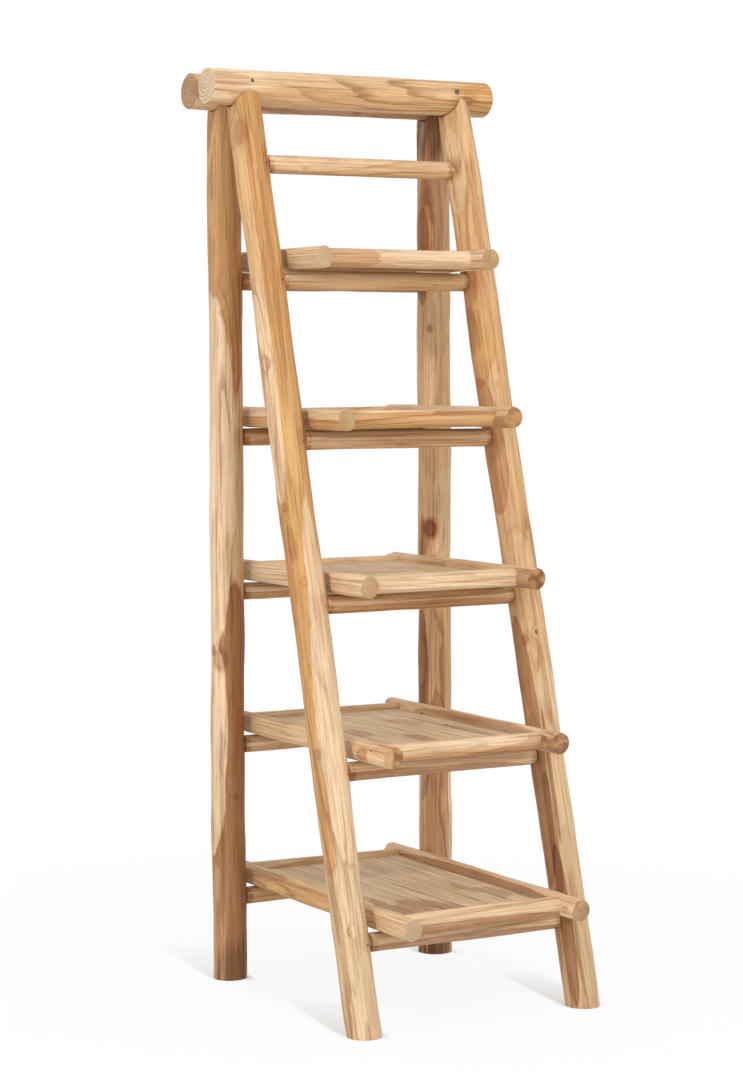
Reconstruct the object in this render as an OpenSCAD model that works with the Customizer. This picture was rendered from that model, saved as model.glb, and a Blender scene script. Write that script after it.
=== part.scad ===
// Plant ladder stand: an upright rear ladder and a leaning front ladder of natural teak poles,
// joined under twin top poles, with five loose slatted trays lying on their rungs.
// Origin: centre of the footprint, on the floor. +X right, +Y back, +Z up. Millimetres.

/* [Ladders] */
// Overall height, floor to the top of the front top pole
stand_h = 1800; // [1600:10:2000]
// Distance between the centre lines of the left and right legs
leg_spacing = 480; // [420:5:600]
// Diameter of a leg
leg_d = 66; // [58:1:74]
// Distance on the floor from the rear legs' centre line to the front legs' centre line
foot_depth = 549; // [450:5:650]
// Diameter of a front rung
front_rung_d = 38; // [32:1:42]
// Diameter of a rear rung
rear_rung_d = 36; // [32:1:42]
// Distance from the front top pole's centre line down to the plain rung's
top_rung_drop = 148; // [120:2:180]
// Diameter of the tenon on each end of a rung
tenon_d = 26; // [20:1:30]
// Depth that a tenon goes into its leg
tenon_l = 30; // [20:1:36]

/* [Top poles] */
// Diameter of each of the two top poles
top_pole_d = 74; // [68:1:84]
// Length of each top pole
top_pole_l = 640; // [580:5:760]
// How much lower the rear top pole lies than the front one
rear_pole_drop = 3; // [0:0.5:6]

/* [Trays] */
// Height of the rung tops that carry the lowest tray
low_seat_z = 181; // [150:1:220]
// Distance from the front top pole's centre line down to the rung tops under the top tray
top_seat_drop = 354; // [320:2:400]
// Diameter of a tray's side poles
side_pole_d = 43; // [38:1:46]
// Gap between a side pole and the legs it slides between
side_gap = 2.5; // [1:0.5:8]
// How far the side poles reach in front of the front legs' centre line
front_reach = 150; // [120:1:180]
// The same reach on the lowest tray
low_front_reach = 137; // [120:1:180]
// How far the side poles reach behind the rear legs' centre line
rear_reach = 86; // [70:1:110]
// Gap between a leg and the scoop cut round it in the side pole
scoop_gap = 13; // [6:0.5:16]
// Diameter of the front and rear rails
rail_d = 38; // [32:1:38]
// Distance from the side poles' front ends to the front rail's centre line
front_rail_inset = 62; // [45:1:80]
// Distance from the side poles' rear ends to the rear rail's centre line
rear_rail_inset = 48; // [35:1:70]
// Number of slats in a tray
slat_count = 6; // [4:1:8]
// Thickness of a slat
slat_t = 12; // [8:0.5:14]
// Gap between neighbouring slats
slat_gap = 2.5; // [1:0.5:6]
// Height of the slats' upper face above the side poles' centre line
slat_rise = 5; // [2:0.5:8]
// Width of a batten under the slats, front to back
batten_w = 40; // [30:1:50]
// Thickness of a batten
batten_t = 12; // [8:0.5:13]
// Depth that a batten's end is housed in its side pole
batten_housing = 11; // [6:0.5:11]

/* [Screws] */
// Shank diameter of the long screws that tie the twin top poles together
tie_screw_d = 6; // [4:0.5:8]
// Shank diameter of the screws in the legs, rungs and rails
screw_d = 4; // [3:0.5:5]
// Shank diameter of the small screws under the slats
slat_screw_d = 3; // [2:0.5:4]
// Depth that a screw head is sunk below the wood
screw_sink = 2; // [1:0.5:4]
// The same depth over the screws into the rails' ends, whose holes are deeper
rail_screw_sink = 5; // [2:0.5:7]

/* [Clearances] */
// Play round every fixed joint between two pieces of wood or round a screw
joint_gap = 0.2; // [0.1:0.05:0.4]
// Gap between a resting tray and the rung below it, and between the twin poles
seat_gap = 0.3; // [0.2:0.05:0.5]

/* [Hidden] */
$fn = 48;
tray_count = 5;
trays = [1:tray_count];
left = -1;
right = 1;
frame_nodes = ["rear_leg_left", "rear_leg_right", "front_leg_left", "front_leg_right",
    "front_top_pole", "rear_top_pole", "top_rung", "top_pole_screws", "leg_top_screws",
    "front_rung_screws", "rear_rung_screws"];
tray_pieces = ["side_pole_left", "side_pole_right", "front_rail", "rear_rail", "slats",
    "battens", "screws"];

leg_r = leg_d / 2;
leg_x = leg_spacing / 2;
top_pole_r = top_pole_d / 2;
side_pole_r = side_pole_d / 2;
rail_r = rail_d / 2;

// The twin poles touch, and the front legs lean so that they meet the front pole's axis.
front_pole_z = stand_h - top_pole_r;
rear_pole_z = front_pole_z - rear_pole_drop;
pole_pitch = top_pole_d + seat_gap;
lean_run = foot_depth - pole_pitch;
lean = atan2(lean_run, front_pole_z);

// Heights, counted from tray 1 at the top down to the lowest tray. The trays are evenly spaced.
top_rung_z = front_pole_z - top_rung_drop;
tray_pitch = (front_pole_z - top_seat_drop - low_seat_z) / (tray_count - 1);
function seat_z(n) = low_seat_z + (tray_count - n) * tray_pitch;
function tray_z(n) = seat_z(n) + seat_gap + side_pole_r;
function front_rung_z(n) = seat_z(n) - front_rung_d / 2;
function rear_rung_z(n) = seat_z(n) - rear_rung_d / 2;

// Depths. front_out is the distance of the front legs before the rear legs at a height.
function front_out(z) = foot_depth - lean_run * z / front_pole_z;
function reach(n) = n == tray_count ? low_front_reach : front_reach;
front_most = max([for (n = trays) front_out(tray_z(n)) + reach(n)]);
rear_most = max(rear_reach, top_pole_r, leg_r);
rear_y = (front_most - rear_most) / 2;
function front_y(z) = rear_y - front_out(z);
function tray_front_y(n) = front_y(tray_z(n)) - reach(n);
tray_rear_y = rear_y + rear_reach;
front_pole_y = rear_y - pole_pitch;
function front_rail_y(n) = tray_front_y(n) + front_rail_inset;
rear_rail_y = tray_rear_y - rear_rail_inset;

// Widths inside a tray.
side_pole_x = leg_x - leg_r - side_gap - side_pole_r;
tray_inner = 2 * (side_pole_x - side_pole_r - joint_gap);
slat_pitch = (tray_inner + slat_gap) / slat_count;
slat_w = slat_pitch - slat_gap;
function slat_x(i) = (i - (slat_count - 1) / 2) * slat_pitch;
function slat_front_y(n) = front_rail_y(n) + rail_r + joint_gap;
slat_rear_y = rear_rail_y - rail_r - joint_gap;
function slat_top_z(n) = tray_z(n) + slat_rise;
function batten_top_z(n) = slat_top_z(n) - slat_t;
batten_end_x = side_pole_x - side_pole_r + batten_housing;

// Each batten lies this share of the slats' length in from their ends.
batten_share = 0.18;
function batten_y(n, end) = (slat_front_y(n) + slat_rear_y) / 2
    + end * (0.5 - batten_share) * (slat_rear_y - slat_front_y(n));

// Screws. A head is this many times as wide, and as long, as its shank is wide.
head_wide = 2;
head_long = 0.8;
// Direction in which the rung screws enter a leg, measured round it from the rung.
rung_screw_turn = 56;
// The rung screws stop short of the leg's centre line by this much.
rung_screw_stop = 4;
// Slopes of the tie screws, the screws at the leg tops and those in the rail ends.
tie_tilt = 20;
leg_top_tilt = 35;
rail_screw_tilt = 70;
// Height of the leg-top screws' heads below the pole's centre line.
leg_top_screw_drop = 1.6 * top_pole_r;
// Wood that a screw bites past the joint it holds.
bite = 20;
rail_bite = 16;
slat_bite = 8;
batten_bite = 14;
// Cutters reach this far past the face they open.
over = 20;

// One screw with its head's top at the origin and its point down.
module screw(d, l) {
    translate([0, 0, -l]) cylinder(d = d, h = l);
    translate([0, 0, -head_long * d]) cylinder(d = head_wide * d, h = head_long * d);
}

// The bore that takes such a screw, open above the head.
module screw_bore(d, l) {
    translate([0, 0, -l - joint_gap]) cylinder(d = d + 2 * joint_gap, h = l + joint_gap);
    translate([0, 0, -head_long * d - joint_gap])
        cylinder(d = head_wide * d + 2 * joint_gap, h = head_long * d + joint_gap + over);
}

// A round bar of radius r along X, centred at y, z.
module bar_x(r, l, y, z) {
    translate([-l / 2, y, z]) rotate([0, 90, 0]) cylinder(r = r, h = l);
}

// Solid of the leaning front leg on one side, grown by extra, running past floor and top.
module leaning_bar(side, extra) {
    translate([side * leg_x, front_y(0), 0]) rotate([-lean, 0, 0])
        translate([0, 0, -leg_d]) cylinder(r = leg_r + extra, h = leg_d + front_pole_z / cos(lean));
}

// Solid of the upright rear leg on one side, grown by extra.
module upright_bar(side, extra) {
    translate([side * leg_x, rear_y, 0]) cylinder(r = leg_r + extra, h = rear_pole_z);
}

module floor_cut() {
    translate([-leg_spacing, -foot_depth - leg_spacing, -2 * leg_d])
        cube([2 * leg_spacing, 2 * (foot_depth + leg_spacing), 2 * leg_d]);
}

// Mortises for all rungs of one ladder, and their tenons.
module tenon(side, y, z, extra) {
    translate([side * (leg_x - leg_r + tenon_l + extra), y, z]) rotate([0, -side * 90, 0])
        cylinder(d = tenon_d + 2 * extra, h = tenon_l + leg_r + extra);
}

module front_tenons(side, extra) {
    for (n = trays) tenon(side, front_y(front_rung_z(n)), front_rung_z(n), extra);
    tenon(side, front_y(top_rung_z), top_rung_z, extra);
}

module rear_tenons(side, extra) {
    for (n = trays) tenon(side, rear_y, rear_rung_z(n), extra);
}

// Places its children at a rung screw's head: in the left front leg it enters from the front,
// elsewhere from behind. face is -1 for the front and 1 for behind.
module at_rung_screw(side, y, z, face) {
    translate([side * leg_x, y, z])
        rotate([0, 0, atan2(face * sin(rung_screw_turn), -side * cos(rung_screw_turn))])
            rotate([0, 90, 0]) translate([0, 0, leg_r - screw_sink]) children();
}

rung_screw_l = leg_r - screw_sink - rung_screw_stop;

module at_front_rung_screws(side) {
    for (n = trays) at_rung_screw(side, front_y(front_rung_z(n)), front_rung_z(n), side) children();
    at_rung_screw(side, front_y(top_rung_z), top_rung_z, side) children();
}

module at_rear_rung_screws(side) {
    for (n = trays) at_rung_screw(side, rear_y, rear_rung_z(n), right) children();
}

// Places its children at the heads of the screws that hold one leg's top to its pole.
module at_leg_top_screw(side, y, z, face) {
    translate([side * leg_x, y + face * (leg_r - screw_sink), z])
        rotate([-face * (90 + leg_top_tilt), 0, 0]) children();
}

leg_top_screw_l = leg_r / cos(leg_top_tilt) + bite;

module at_front_leg_top(side) {
    z = front_pole_z - leg_top_screw_drop;
    at_leg_top_screw(side, front_y(z), z, left) children();
}

module at_rear_leg_top(side) {
    at_leg_top_screw(side, rear_y, rear_pole_z - leg_top_screw_drop, right) children();
}

// Places its children at the heads of the two screws through both top poles.
tie_screw_x = leg_x - leg_r / 4;
tie_screw_l = top_pole_r - screw_sink + pole_pitch;

module at_tie_screws() {
    for (side = [left, right]) translate([side * tie_screw_x, front_pole_y, front_pole_z])
        rotate([90 - tie_tilt, 0, 0]) translate([0, 0, top_pole_r - screw_sink]) children();
}

// Upright leg: flat foot, saddle top fitted to the rear pole, blind mortises for five rungs.
module rear_leg(side) {
    color("#c89361") difference() {
        upright_bar(side, 0);
        bar_x(top_pole_r + joint_gap, top_pole_l, rear_y, rear_pole_z);
        rear_tenons(side, joint_gap);
        at_rear_rung_screws(side) screw_bore(screw_d, rung_screw_l);
        at_rear_leg_top(side) screw_bore(screw_d, leg_top_screw_l);
    }
}

// Leaning leg: foot cut level, saddle top fitted to the front pole, mortises for six rungs.
module front_leg(side) {
    color("#dcb283") difference() {
        leaning_bar(side, 0);
        floor_cut();
        bar_x(top_pole_r + joint_gap, top_pole_l, front_pole_y, front_pole_z);
        front_tenons(side, joint_gap);
        at_front_rung_screws(side) screw_bore(screw_d, rung_screw_l);
        at_front_leg_top(side) screw_bore(screw_d, leg_top_screw_l);
    }
}

module front_top_pole() {
    color("#d7b083") difference() {
        bar_x(top_pole_r, top_pole_l, front_pole_y, front_pole_z);
        at_tie_screws() screw_bore(tie_screw_d, tie_screw_l);
        for (side = [left, right]) at_front_leg_top(side) screw_bore(screw_d, leg_top_screw_l);
    }
}

module rear_top_pole() {
    color("#cda274") difference() {
        bar_x(top_pole_r, top_pole_l, rear_y, rear_pole_z);
        at_tie_screws() screw_bore(tie_screw_d, tie_screw_l);
        for (side = [left, right]) at_rear_leg_top(side) screw_bore(screw_d, leg_top_screw_l);
    }
}

// A rung with shoulders coped to both legs, a tenon on each end, and a screw bore in each tenon.
module front_rung_at(d, z) {
    difference() {
        union() {
            difference() {
                bar_x(d / 2, leg_spacing, front_y(z), z);
                for (side = [left, right]) leaning_bar(side, joint_gap);
            }
            for (side = [left, right]) tenon(side, front_y(z), z, 0);
        }
        for (side = [left, right]) at_rung_screw(side, front_y(z), z, side)
            screw_bore(screw_d, rung_screw_l);
    }
}

module front_rung(n) {
    color("#d2a36c") front_rung_at(front_rung_d, front_rung_z(n));
}

module top_rung() {
    color("#b9824f") front_rung_at(front_rung_d, top_rung_z);
}

module rear_rung(n) {
    z = rear_rung_z(n);
    color("#b98552") difference() {
        union() {
            difference() {
                bar_x(rear_rung_d / 2, leg_spacing, rear_y, z);
                for (side = [left, right]) upright_bar(side, joint_gap);
            }
            for (side = [left, right]) tenon(side, rear_y, z, 0);
        }
        for (side = [left, right]) at_rung_screw(side, rear_y, z, right)
            screw_bore(screw_d, rung_screw_l);
    }
}

module top_pole_screws() {
    color("#4a3f36") at_tie_screws() screw(tie_screw_d, tie_screw_l);
}

module leg_top_screws() {
    color("#4a3f36") for (side = [left, right]) {
        at_front_leg_top(side) screw(screw_d, leg_top_screw_l);
        at_rear_leg_top(side) screw(screw_d, leg_top_screw_l);
    }
}

module front_rung_screws() {
    color("#4a3f36") for (side = [left, right])
        at_front_rung_screws(side) screw(screw_d, rung_screw_l);
}

module rear_rung_screws() {
    color("#4a3f36") for (side = [left, right])
        at_rear_rung_screws(side) screw(screw_d, rung_screw_l);
}

// Places its children at the heads of the screws that go from the outer side of each side pole,
// a little downwards, into the ends of the two rails.
rail_screw_l = side_pole_d - rail_screw_sink + rail_bite;

module at_rail_screws(n, side) {
    for (y = [front_rail_y(n), rear_rail_y]) translate([side * side_pole_x, y, tray_z(n)])
        rotate([0, side * rail_screw_tilt, 0])
            translate([0, 0, side_pole_r - rail_screw_sink]) children();
}

// Places its children at the heads of the screws that go up through a batten into the slats.
slat_screw_l = batten_t - screw_sink + slat_bite;

module at_slat_screws(n, end) {
    for (i = [0:slat_count - 1])
        translate([slat_x(i), batten_y(n, end), batten_top_z(n) - batten_t + screw_sink])
            rotate([180, 0, 0]) children();
}

// Places its children at the heads of the screws that go up through a batten's ends into the
// side poles.
batten_screw_l = batten_t - screw_sink + batten_bite;
batten_screw_x = side_pole_x - side_pole_r + batten_housing / 2;

module at_batten_screws(n, end) {
    for (side = [left, right])
        translate([side * batten_screw_x, batten_y(n, end), batten_top_z(n) - batten_t + screw_sink])
            rotate([180, 0, 0]) children();
}

// Side pole: scooped where it passes the front and rear leg, housed for both battens.
module side_pole(n, side) {
    color("#d8b58a") difference() {
        translate([side * side_pole_x, tray_front_y(n), tray_z(n)]) rotate([-90, 0, 0])
            cylinder(r = side_pole_r, h = tray_rear_y - tray_front_y(n));
        leaning_bar(side, scoop_gap);
        upright_bar(side, scoop_gap);
        for (end = [-1, 1]) {
            batten(n, end, joint_gap);
            at_batten_screws(n, end) screw_bore(slat_screw_d, batten_screw_l);
        }
        at_rail_screws(n, side) screw_bore(screw_d, rail_screw_l);
    }
}

// Round rail with its ends coped to both side poles.
module rail(n, y) {
    color("#d3a26a") difference() {
        bar_x(rail_r, 2 * side_pole_x, y, tray_z(n));
        for (side = [left, right]) {
            translate([side * side_pole_x, y - rail_d, tray_z(n)]) rotate([-90, 0, 0])
                cylinder(r = side_pole_r + joint_gap, h = 2 * rail_d);
            at_rail_screws(n, side) screw_bore(screw_d, rail_screw_l);
        }
    }
}

// Flat bar across the tray under the slats, grown by extra.
module batten(n, end, extra) {
    translate([-batten_end_x - extra, batten_y(n, end) - batten_w / 2 - extra,
        batten_top_z(n) - batten_t - extra])
        cube([2 * (batten_end_x + extra), batten_w + 2 * extra, batten_t + 2 * extra]);
}

module battens(n) {
    color("#b98d62") for (end = [-1, 1]) difference() {
        batten(n, end, 0);
        at_slat_screws(n, end) screw_bore(slat_screw_d, slat_screw_l);
        at_batten_screws(n, end) screw_bore(slat_screw_d, batten_screw_l);
    }
}

module slats(n) {
    color("#cdb491") for (i = [0:slat_count - 1]) difference() {
        translate([slat_x(i) - slat_w / 2, slat_front_y(n), batten_top_z(n)])
            cube([slat_w, slat_rear_y - slat_front_y(n), slat_t]);
        for (end = [-1, 1]) at_slat_screws(n, end) screw_bore(slat_screw_d, slat_screw_l);
    }
}

module tray_screws(n) {
    color("#4a3f36") {
        for (side = [left, right]) at_rail_screws(n, side) screw(screw_d, rail_screw_l);
        for (end = [-1, 1]) {
            at_slat_screws(n, end) screw(slat_screw_d, slat_screw_l);
            at_batten_screws(n, end) screw(slat_screw_d, batten_screw_l);
        }
    }
}

rear_leg(left);  // rear_leg_left
rear_leg(right);  // rear_leg_right
front_leg(left);  // front_leg_left
front_leg(right);  // front_leg_right
front_top_pole();
rear_top_pole();
top_rung();
top_pole_screws();
leg_top_screws();
front_rung_screws();
rear_rung_screws();
for (n = trays) {
    front_rung(n);
    rear_rung(n);
    side_pole(n, left);
    side_pole(n, right);
    rail(n, front_rail_y(n));
    rail(n, rear_rail_y);
    slats(n);
    battens(n);
    tray_screws(n);
}
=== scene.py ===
import math

import bpy
from mathutils import Euler, Matrix, Vector


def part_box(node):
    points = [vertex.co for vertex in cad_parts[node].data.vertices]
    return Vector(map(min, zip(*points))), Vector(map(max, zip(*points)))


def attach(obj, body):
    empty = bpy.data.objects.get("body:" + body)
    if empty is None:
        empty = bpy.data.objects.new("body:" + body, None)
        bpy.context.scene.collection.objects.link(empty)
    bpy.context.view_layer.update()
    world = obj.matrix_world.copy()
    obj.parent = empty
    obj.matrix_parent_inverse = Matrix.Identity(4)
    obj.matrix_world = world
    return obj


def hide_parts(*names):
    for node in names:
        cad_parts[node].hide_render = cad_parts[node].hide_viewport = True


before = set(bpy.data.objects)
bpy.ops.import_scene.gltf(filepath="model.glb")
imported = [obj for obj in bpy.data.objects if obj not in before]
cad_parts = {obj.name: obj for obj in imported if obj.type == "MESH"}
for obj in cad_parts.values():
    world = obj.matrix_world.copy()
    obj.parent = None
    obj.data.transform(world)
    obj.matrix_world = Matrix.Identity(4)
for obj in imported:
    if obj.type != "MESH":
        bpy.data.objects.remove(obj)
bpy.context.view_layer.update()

# ---------------------------------------------------------------------------------------------
# Studio. A plain white floor that keeps a faint shadow of the whole stand and a plainer one
# behind each foot, soft light from high in front and from the left, and a camera to the left of
# the stand's front, at the height of the second tray from the top.
# ---------------------------------------------------------------------------------------------
scene = bpy.context.scene
scene.view_settings.view_transform = "Standard"


class Grain:
    """A value on its way through a finish's nodes. Python's operators add its Math nodes."""

    def __init__(self, tree, socket=None):
        self.tree, self.socket = tree, socket

    def node(self, kind, settings, inputs, out=0):
        """Adds a node with these settings and inputs, and goes on from its output."""
        made = self.tree.nodes.new(kind)
        for key, value in settings.items():
            setattr(made, key, value)
        for key, value in inputs.items():
            if isinstance(value, Grain):
                self.tree.links.new(value.socket, made.inputs[key])
            else:
                made.inputs[key].default_value = value
        return Grain(self.tree, made.outputs[out])

    def maths(self, operation, *values):
        return self.node("ShaderNodeMath", {"operation": operation}, dict(enumerate(values)))

    def __add__(self, other):
        return self.maths("ADD", self, other)

    def __radd__(self, other):
        return self.maths("ADD", other, self)

    def __sub__(self, other):
        return self.maths("SUBTRACT", self, other)

    def __rsub__(self, other):
        return self.maths("SUBTRACT", other, self)

    def __mul__(self, other):
        return self.maths("MULTIPLY", self, other)

    def __truediv__(self, other):
        return self.maths("DIVIDE", self, other)

    def positive(self):
        """This value, or 0 where it is negative."""
        return self.maths("MAXIMUM", self, 0.0)

    def step(self, low, high):
        """Rises softly from 0 at low to 1 at high, or falls where low is the greater."""
        return self.node(
            "ShaderNodeMapRange",
            {"interpolation_type": "SMOOTHSTEP"},
            {"Value": self, "From Min": low, "From Max": high},
        )

    def vector(self, operation, *values, out=0):
        return self.node(
            "ShaderNodeVectorMath", {"operation": operation}, dict(enumerate(values)), out
        )

    def tint(self, mask, other, blend="MIX"):
        """This colour, going over to the other where the mask is 1."""
        return self.node(
            "ShaderNodeMix",
            {"data_type": "RGBA", "clamp_factor": True, "blend_type": blend},
            {0: mask, 6: self, 7: other},
            out=2,
        )

    def stain(self, mask, other):
        """This colour with the other laid over it as a clear stain where the mask is 1."""
        return self.tint(mask, other, "MULTIPLY")


def finish(name):
    """A new empty material and the start of its nodes."""
    made = bpy.data.materials.new(name)
    made.use_nodes = True
    made.node_tree.nodes.clear()
    return made, Grain(made.node_tree)


def shows_background(start):
    """1 for the camera's rays and for those that metal or glass sends on, 0 for the others."""
    kinds = ("Is Camera Ray", "Is Glossy Ray", "Is Transmission Ray")
    camera_ray, glossy, through = (start.node("ShaderNodeLightPath", {}, {}, kind) for kind in kinds)
    return start.maths("MAXIMUM", start.maths("MAXIMUM", camera_ray, glossy), through)


# The view straight ahead of the lens, level but for a slight fall.
ahead = Vector((0.49391, 0.86697, -0.06645)).normalized()
away = Vector((ahead.x, ahead.y, 0)).normalized()

bpy.ops.object.select_all(action="DESELECT")
bpy.ops.mesh.primitive_plane_add(size=30, location=(0, 0, 0))
floor = bpy.context.object
floor.name = "studio_floor"
paper, start = finish("studio_paper")
matt = start.node("ShaderNodeBsdfDiffuse", {}, {"Color": (0.86, 0.86, 0.86, 1)})
pale = start.node("ShaderNodeBsdfDiffuse", {}, {"Color": (0.86, 0.91, 0.96, 1)})
glow = start.node("ShaderNodeEmission", {}, {"Color": (1, 1, 1, 1), "Strength": 1.0})
spot = start.node("ShaderNodeTexCoord", {}, {}, "Object")

# Where the shadows show: faintly round the stand, and plainly in a short strip behind each foot
# that fades away from the camera.
faint, plain, fading = 0.12, 0.62, 1.5
square_to_shadow = (0.99, -0.14, 0)
kept = spot.vector("LENGTH", spot, out="Value").step(1.9, 0.7) * faint
for leg in ("front_leg_left", "front_leg_right", "rear_leg_left", "rear_leg_right"):
    low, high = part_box(leg)
    radius = (high[0] - low[0]) / 2
    gap = spot.vector("SUBTRACT", spot, (low[0] + radius, low[1] + radius, 0))
    behind = gap.vector("DOT_PRODUCT", gap, away, out="Value")
    aside = gap.vector("DOT_PRODUCT", gap, square_to_shadow, out="Value")
    strip = behind.step(0.31, 0.29) * aside.maths("ABSOLUTE", aside).step(0.050, 0.034)
    strip = strip * behind.step(-0.04, 0.0) * (plain - behind * fading)
    kept = kept.maths("MAXIMUM", kept, strip)
shaded = start.node("ShaderNodeMixShader", {}, {0: kept, 1: glow, 2: pale})
shown = start.node("ShaderNodeMixShader", {}, {0: shows_background(start), 1: matt, 2: shaded})
out = paper.node_tree.nodes.new("ShaderNodeOutputMaterial")
paper.node_tree.links.new(shown.socket, out.inputs["Surface"])
floor.data.materials.append(paper)

world = bpy.data.worlds.new("studio_light")
scene.world = world
world.use_nodes = True
world.node_tree.nodes.clear()
sky = Grain(world.node_tree)
dim = sky.node("ShaderNodeBackground", {}, {"Color": (1.0, 0.965, 0.90, 1), "Strength": 0.90})
white = sky.node("ShaderNodeBackground", {}, {"Color": (1, 1, 1, 1), "Strength": 1.0})
both = sky.node("ShaderNodeMixShader", {}, {0: shows_background(sky), 1: dim, 2: white})
out = world.node_tree.nodes.new("ShaderNodeOutputWorld")
world.node_tree.links.new(both.socket, out.inputs["Surface"])


def lamp(name, place, aim, width, watts, warmth):
    """A square lamp that faces its aim."""
    bpy.ops.object.light_add(type="AREA", location=place)
    made = bpy.context.object
    made.name = name
    made.rotation_euler = (Vector(aim) - Vector(place)).to_track_quat("-Z", "Y").to_euler()
    made.data.size = width
    made.data.energy = watts
    made.data.color = warmth


lamp("key", (-0.5, -4.7, 4.2), aim=(0, 0, 0.8), width=0.35, watts=100, warmth=(1.0, 0.995, 0.985))
lamp("left_fill", (-4.5, -1.2, 2.2), aim=(0, 0, 0.9), width=2.5, watts=45, warmth=(1.0, 0.98, 0.95))

# The lens stands where the photograph's perspective puts it. Its length was fitted in pixels.
lens_place = (-2.6293, -4.5013, 1.2341)
lens_pixels, picture_height, sensor_width = 2690, 1080, 36
level = ahead.cross(Vector((0, 0, 1))).normalized()
roll = math.radians(-0.20)
across = level * math.cos(roll) + level.cross(ahead) * math.sin(roll)
camera_data = bpy.data.cameras.new("camera")
camera_data.sensor_width = sensor_width
camera_data.lens = lens_pixels / picture_height * sensor_width
camera = bpy.data.objects.new("camera", camera_data)
scene.collection.objects.link(camera)
facing = Matrix((across, across.cross(ahead), -ahead)).transposed().to_4x4()
camera.matrix_world = Matrix.Translation(lens_place) @ facing
scene.camera = camera

# ---------------------------------------------------------------------------------------------
# Legs. Four thinned teak poles, debarked and sanded, 66 mm thick: the rear pair upright, the
# front pair leaning. The maker sawed each foot level, hewed the top narrower and hollowed it out
# to fit under its top pole.
# ---------------------------------------------------------------------------------------------


def colour(code):
    """The linear colour that a written colour such as c08040 stands for."""
    parts = [int(code[i : i + 2], 16) / 255 for i in (0, 2, 4)]
    return [((c + 0.055) / 1.055) ** 2.4 if c > 0.04045 else c / 12.92 for c in parts] + [1]


# Pale woods, and then the stains that lie over them as clear colours. Some patches use them to paint
# light and shade.
SAPWOOD, HONEY, GREYED = colour("e5cbaa"), colour("d9b88e"), colour("dac4a2")
OCHRE, RED_HEART, HEARTWOOD = colour("ebd4ac"), colour("cd9a6a"), colour("ae7e50")
UMBER, LINE = colour("77502f"), colour("a5713e")
# A patch that reaches less far than this is soft: a stain, and at the joints painted shade. Others
# have a crisp edge.
SOFT_REACH = 0.07


def lay(tone, mask, wood):
    """The tone with a wood over it where the mask is 1: a pale one covers it, others stain it."""
    return tone.tint(mask, wood) if wood in (SAPWOOD, HONEY, GREYED) else tone.stain(mask, wood)


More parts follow.
